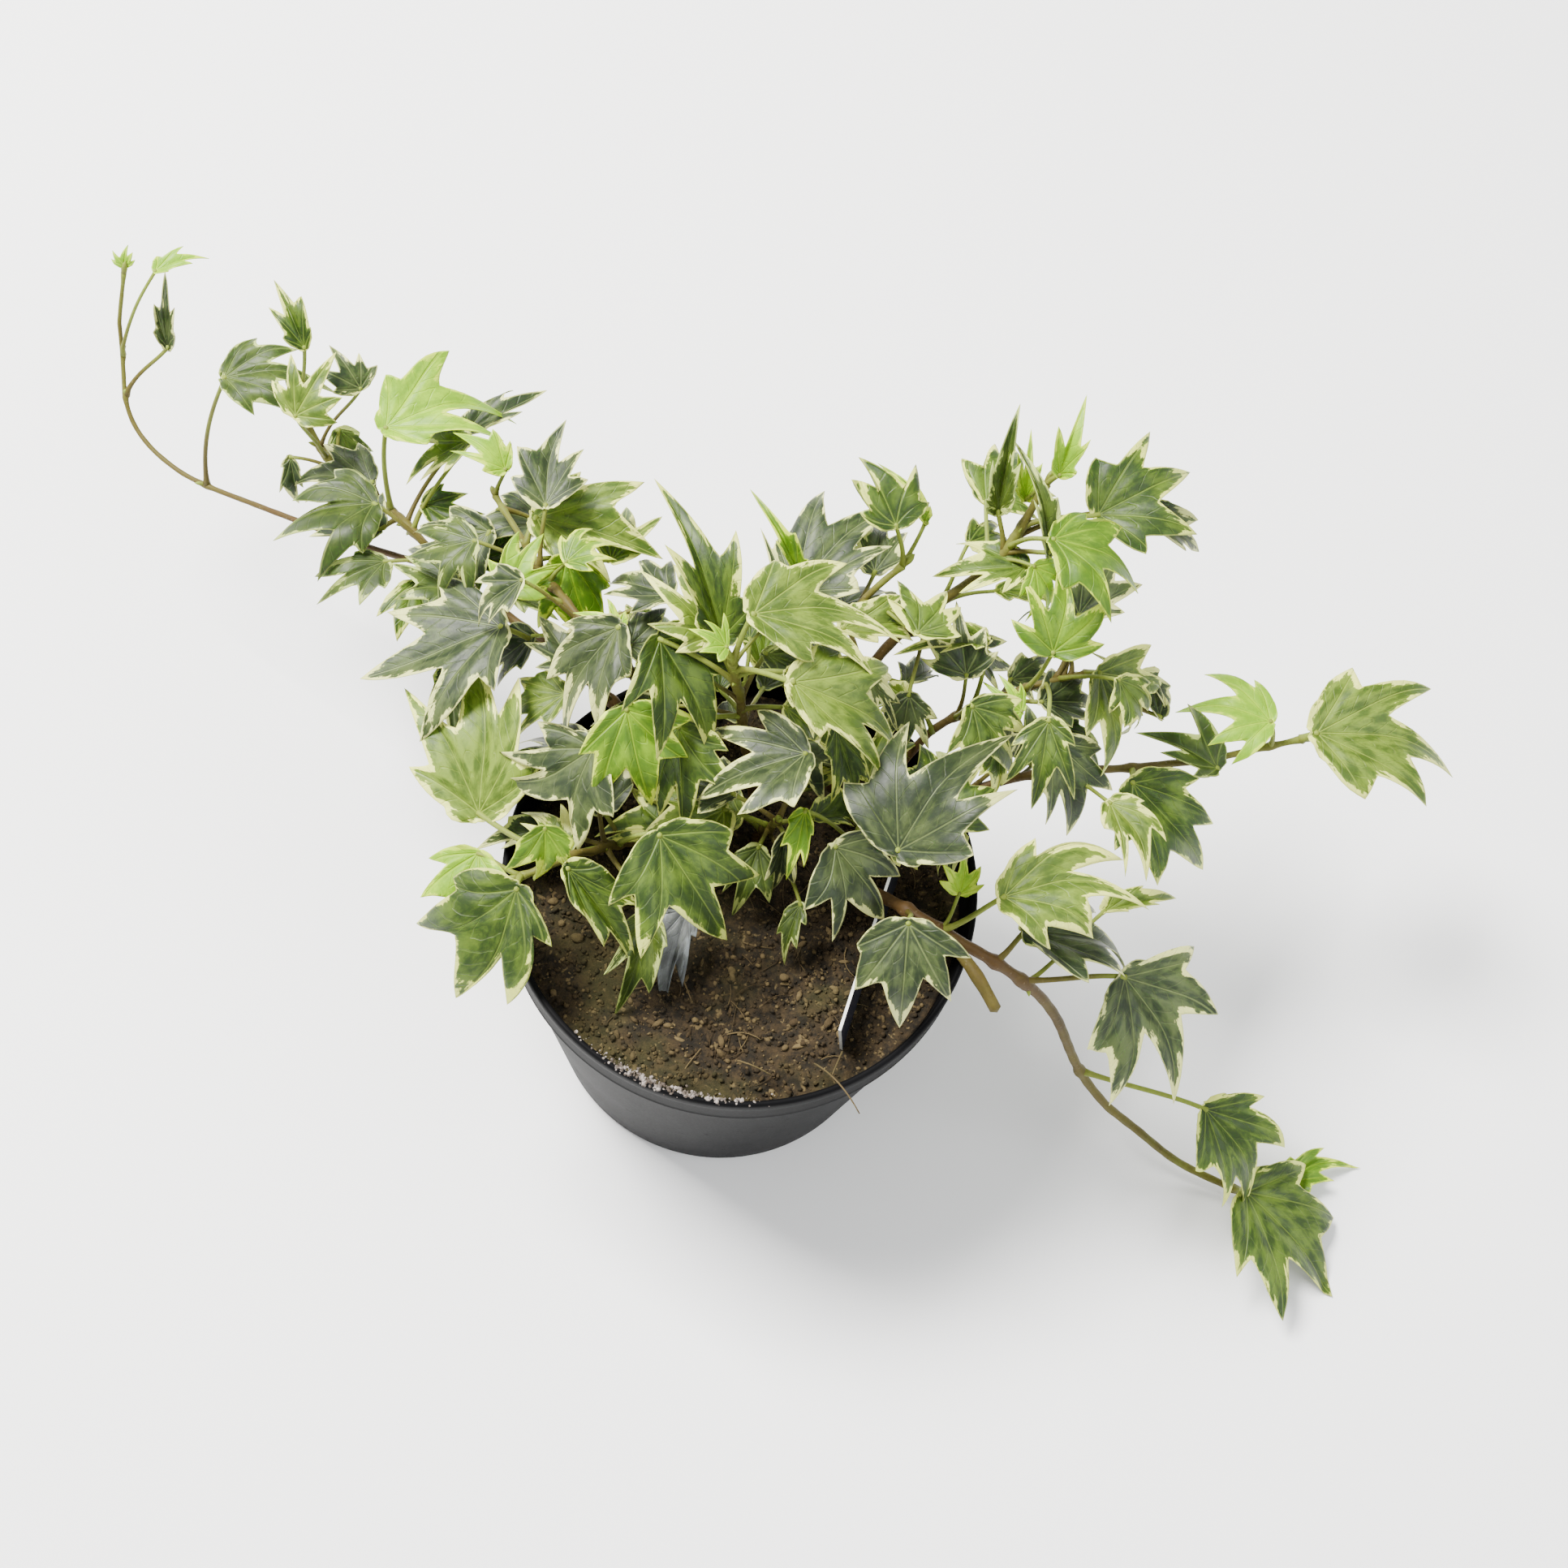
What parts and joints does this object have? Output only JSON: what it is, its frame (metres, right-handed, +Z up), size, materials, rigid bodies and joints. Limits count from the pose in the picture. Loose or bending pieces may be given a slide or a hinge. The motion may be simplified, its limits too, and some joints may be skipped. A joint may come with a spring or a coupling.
{
  "type": "potted ivy",
  "caption": "Cream-edged trailing ivy in a round black grower's pot of soil, its shoots spreading sideways and one hanging over the rim to the surface",
  "frame": {"origin": "centre of the pot's base, on the surface that it stands on", "axes": "+Z up along the pot's axis; +X towards the long right-hand shoot; +Y towards the back, where the upper-left shoot reaches"},
  "size_m": [0.3651, 0.2821, 0.179],
  "materials": {
    "black_plastic": "satin moulded polypropylene, lightly scuffed and dusty",
    "peat": "crumbly dark brown growing mix with tan bark chips and fibres",
    "dark_card": "plain dark coated card with a pale cut edge",
    "stem": "smooth woody stems, brown to maroon, green at the young ends",
    "leaf_deep": "satin grown leaf, grey-green patches with an ivory margin",
    "leaf_mid": "satin grown leaf, mid green with a cream margin",
    "leaf_pale": "satin leaf, pale grey-green with a wide cream margin",
    "leaf_fresh": "young leaf, yellow-green with a cream-yellow margin",
    "leaf_lime": "newest leaf, soft bright lime",
    "leaf_dull": "leaf seen mostly from below, dull olive"
  },
  "bodies": {
    "root": {"leaf_back_1": "leaf_mid", "leaf_back_5": "leaf_deep", "leaf_back_7": "leaf_pale", "leaf_centre_1": "leaf_pale", "leaf_centre_2": "leaf_pale", "leaf_centre_5": "leaf_mid", "leaf_centre_6": "leaf_mid", "leaf_centre_7": "leaf_mid", "leaf_far_left_1": "leaf_dull", "leaf_front_1": "leaf_deep", "leaf_front_left_1": "leaf_mid", "leaf_front_left_2": "leaf_mid", "leaf_front_left_3": "leaf_dull", "leaf_front_left_4": "leaf_mid", "leaf_front_left_8": "leaf_pale", "leaf_front_right_2": "leaf_deep", "leaf_front_right_3": "leaf_deep", "leaf_left_arm_1": "leaf_deep", "leaf_left_arm_10": "leaf_deep", "leaf_left_arm_13": "leaf_deep", "leaf_left_arm_14": "leaf_deep", "leaf_left_arm_6": "leaf_lime", "leaf_right_arm_1": "leaf_pale", "leaf_right_arm_4": "leaf_mid", "leaf_right_arm_5": "leaf_deep", "leaf_right_inner_1": "leaf_pale", "leaf_top_right_3": "leaf_dull", "leaf_top_right_4": "leaf_dull", "leaf_top_right_7": "leaf_mid", "leaf_top_right_8": "leaf_fresh", "leaf_top_right_9": "leaf_deep", "leaf_trail_1": "leaf_deep", "leaf_trail_2": "leaf_pale", "leaf_trail_5": "leaf_deep", "leaf_trail_6": "leaf_deep", "leaf_trail_7": "leaf_mid", "leaf_trail_8": "leaf_mid", "leaf_upper_left_1": "leaf_deep", "leaf_upper_left_12": "leaf_deep", "leaf_upper_left_2": "leaf_fresh", "leaf_upper_left_3": "leaf_deep", "leaf_upper_left_6": "leaf_pale", "plant_label": "dark_card", "pot": "black_plastic", "shoot_back": "stem", "shoot_centre": "stem", "shoot_far_left": "stem", "shoot_front": "stem", "shoot_front_left": "stem", "shoot_front_right": "stem", "shoot_left_arm": "stem", "shoot_right_arm": "stem", "shoot_right_inner": "stem", "shoot_top_right": "stem", "shoot_trail": "stem", "shoot_upper_left": "stem", "soil": "peat"}
  },
  "joints": []
}
